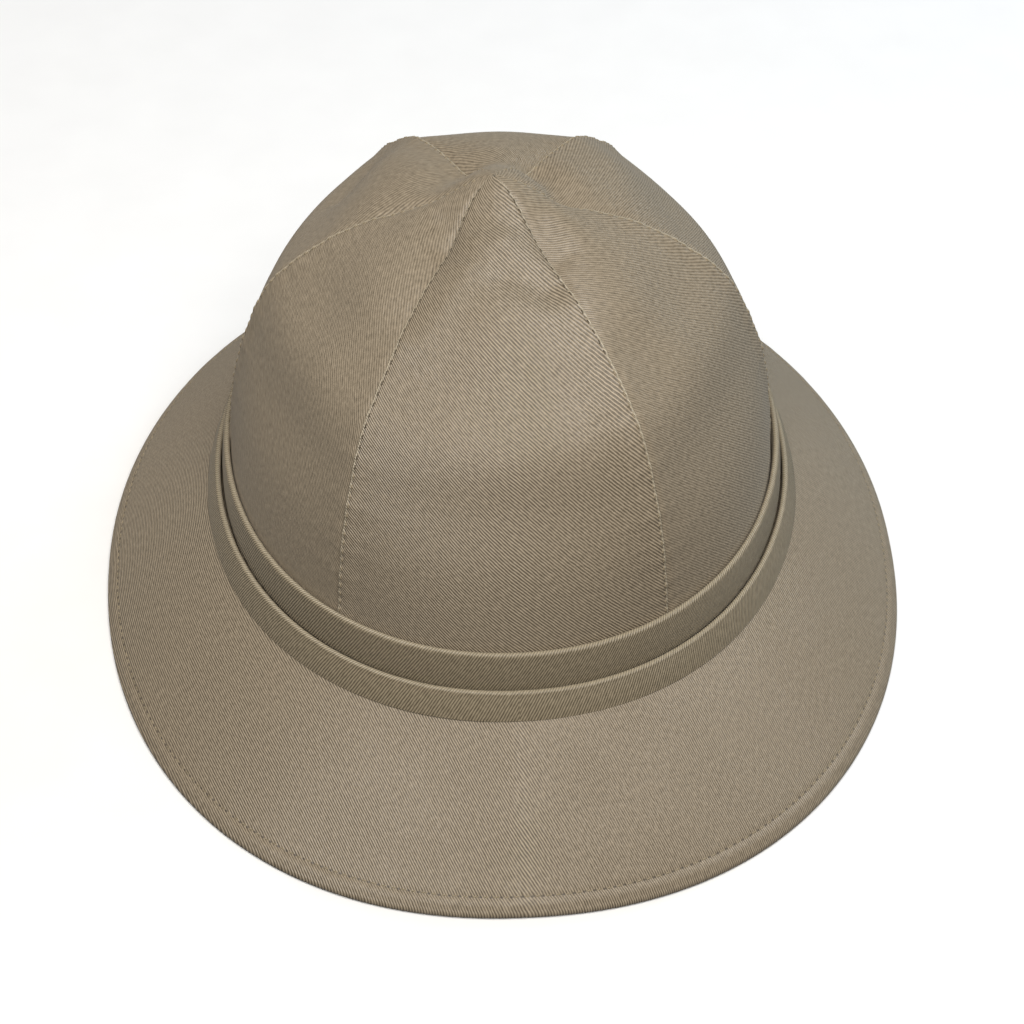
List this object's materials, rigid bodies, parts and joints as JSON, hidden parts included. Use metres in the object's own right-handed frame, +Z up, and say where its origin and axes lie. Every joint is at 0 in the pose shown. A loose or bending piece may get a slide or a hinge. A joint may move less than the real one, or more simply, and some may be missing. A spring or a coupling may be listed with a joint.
{
  "type": "pith helmet",
  "caption": "Cloth-covered pith helmet with a puffed, seamed crown of sewn panels, a pleated hat band and a stiff sloping brim that rests on its edge.",
  "frame": {"origin": "bottom centre of the bounding box: below the middle of the hat, on the plane that the brim's edge rests on", "axes": "+Z up, front towards -Y, +X to the right as seen from the front"},
  "size_m": [0.264, 0.311, 0.158],
  "materials": {
    "crown_twill": "khaki twill with a soft satin sheen, sewn in panels",
    "band_twill": "khaki twill folded into pleats",
    "brim_twill": "khaki twill over a stiff brim, topstitched along its edge"
  },
  "bodies": {
    "root": {"crown_panel_front": "crown_twill", "crown_panel_right_front": "crown_twill", "crown_panel_right_back": "crown_twill", "crown_panel_back": "crown_twill", "crown_panel_left_back": "crown_twill", "crown_panel_left_front": "crown_twill", "band_upper_pleat": "band_twill", "band_lower_pleat": "band_twill", "brim": "brim_twill"}
  },
  "joints": []
}
